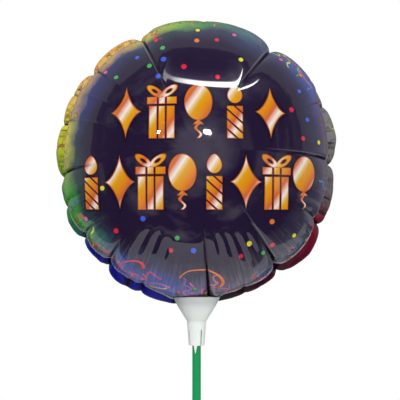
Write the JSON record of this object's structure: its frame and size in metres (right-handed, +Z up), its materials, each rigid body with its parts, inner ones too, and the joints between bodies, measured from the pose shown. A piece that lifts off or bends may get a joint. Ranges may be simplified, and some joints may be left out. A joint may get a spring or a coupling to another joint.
{
  "type": "foil balloon on a stick",
  "caption": "Round foil balloon filled with air, with a dark glossy print, its neck held in a white bell-shaped cup on a thin green tube.",
  "frame": {"origin": "centre of the stick's lower end, where the balloon is held", "axes": "+Z up along the stick, -Y the way the printed front looks, +X to the right as seen from the front"},
  "size_m": [0.179, 0.0955, 0.4953],
  "materials": {
    "front_print": "metallised film with a glossy dark print",
    "back_print": "metallised film with a glossy dark print",
    "valve_clear": "clear soft film",
    "cup_white": "white moulded plastic, semi-gloss",
    "stick_green": "green extruded tube"
  },
  "bodies": {
    "stick": {"stick": "stick_green"},
    "cup": {"cup": "cup_white"},
    "balloon": {"front_film": "front_print", "back_film": "back_print", "valve_front_ply": "valve_clear", "valve_back_ply": "valve_clear"}
  },
  "joints": [
    {"name": "cup_turn", "type": "hinge", "parent": "stick", "child": "cup", "pos_m": [0, 0, 0.2955], "axis": [0, 0, 1], "continuous": true},
    {"name": "balloon_lift", "type": "slide", "parent": "cup", "child": "balloon", "axis": [0, 0, 1], "range_m": [0, 0.013]}
  ]
}
